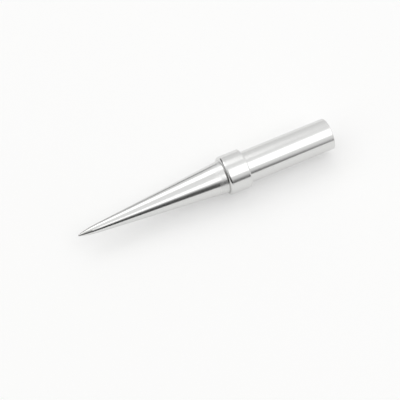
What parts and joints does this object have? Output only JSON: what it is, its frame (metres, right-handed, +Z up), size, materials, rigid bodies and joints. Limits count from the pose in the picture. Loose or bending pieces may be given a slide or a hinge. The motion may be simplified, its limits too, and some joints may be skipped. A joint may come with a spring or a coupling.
{
  "type": "soldering iron tip",
  "caption": "Slip-on soldering iron tip: hollow shank over the heater, a collar for the retaining nut and a long slender cone to a fine tinned point.",
  "frame": {"origin": "centre of the heater bore's mouth, on the axis", "axes": "+X along the axis towards the working point, +Z up with the tip lying level on its collar"},
  "size_m": [0.0542, 0.008, 0.008],
  "materials": {
    "bright_plating": "bright plating over turned copper, tinned at the point"
  },
  "bodies": {
    "root": {"soldering_tip": "bright_plating"}
  },
  "joints": []
}
